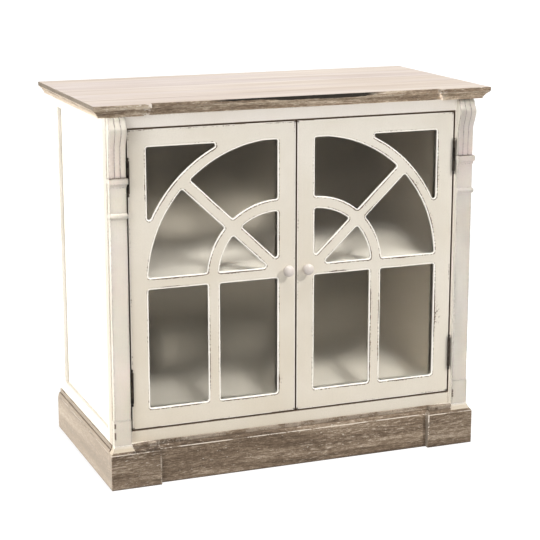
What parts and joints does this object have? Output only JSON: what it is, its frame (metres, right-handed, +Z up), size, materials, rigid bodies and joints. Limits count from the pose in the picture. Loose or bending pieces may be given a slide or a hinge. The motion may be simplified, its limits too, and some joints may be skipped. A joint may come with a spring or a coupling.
{
  "type": "display cabinet",
  "caption": "Low display cabinet with a breakfront top, corner pilasters, recessed side panels and a plinth, and hinged doors with arched fretwork over glass.",
  "frame": {"origin": "on the floor, at the centre of the top's plan", "axes": "+X to the right seen from the front, +Y towards the back, +Z up; the doors face -Y"},
  "size_m": [0.88, 0.45, 0.8],
  "materials": {
    "cream_paint": "painted cream, rubbed and distressed",
    "driftwood": "washed driftwood brown",
    "whitewashed_wood": "whitewashed, matte",
    "inside_paint": "painted, matte",
    "back_panel_board": "thin board, matte",
    "door_glass": "clear",
    "dark_bronze": "dark bronze, satin",
    "knob_enamel": "painted cream, semi-gloss",
    "zinc_steel": "zinc plated",
    "catch_plastic": "moulded"
  },
  "bodies": {
    "cabinet": {"back_panel": "back_panel_board", "bottom_board": "inside_paint", "bottom_rail": "cream_paint", "capital_left": "cream_paint", "capital_right": "cream_paint", "corbel_left": "cream_paint", "corbel_right": "cream_paint", "cornice_block_left": "driftwood", "cornice_block_right": "driftwood", "cornice_board": "driftwood", "face_stile_left": "cream_paint", "face_stile_right": "cream_paint", "frieze_rail": "cream_paint", "hinge_leaf_case_left_bottom": "dark_bronze", "hinge_leaf_case_left_top": "dark_bronze", "hinge_leaf_case_right_bottom": "dark_bronze", "hinge_leaf_case_right_top": "dark_bronze", "hinge_pin_left_bottom": "dark_bronze", "hinge_pin_left_top": "dark_bronze", "hinge_pin_right_bottom": "dark_bronze", "hinge_pin_right_top": "dark_bronze", "magnetic_catch": "catch_plastic", "pilaster_foot_left": "cream_paint", "pilaster_foot_right": "cream_paint", "pilaster_left": "cream_paint", "pilaster_right": "cream_paint", "plinth_back": "cream_paint", "plinth_block_left": "driftwood", "plinth_block_right": "driftwood", "plinth_front": "driftwood", "plinth_side_left": "driftwood", "plinth_side_right": "driftwood", "shelf": "inside_paint", "shelf_cleat_left": "inside_paint", "shelf_cleat_right": "inside_paint", "side_frame_left": "cream_paint", "side_frame_right": "cream_paint", "side_panel_left": "cream_paint", "side_panel_right": "cream_paint", "top_block_left": "whitewashed_wood", "top_block_right": "whitewashed_wood", "top_board": "whitewashed_wood"},
    "left_door": {"door_front_left": "cream_paint", "door_frame_left": "cream_paint", "door_glass_left": "door_glass", "glazing_bead_left": "inside_paint", "knob_left": "knob_enamel", "knob_screw_left": "zinc_steel", "strike_plate_left": "zinc_steel", "hinge_leaf_door_left_top": "dark_bronze", "hinge_leaf_door_left_bottom": "dark_bronze"},
    "right_door": {"door_front_right": "cream_paint", "door_frame_right": "cream_paint", "door_glass_right": "door_glass", "glazing_bead_right": "inside_paint", "knob_right": "knob_enamel", "knob_screw_right": "zinc_steel", "strike_plate_right": "zinc_steel", "hinge_leaf_door_right_top": "dark_bronze", "hinge_leaf_door_right_bottom": "dark_bronze"}
  },
  "joints": [
    {"name": "left_door_hinge", "type": "hinge", "parent": "cabinet", "child": "left_door", "pos_m": [-0.3655, -0.204, 0.42], "axis": [0, 0, -1], "range_deg": [0, 105]},
    {"name": "right_door_hinge", "type": "hinge", "parent": "cabinet", "child": "right_door", "pos_m": [0.3655, -0.204, 0.42], "axis": [0, 0, 1], "range_deg": [0, 105]}
  ]
}
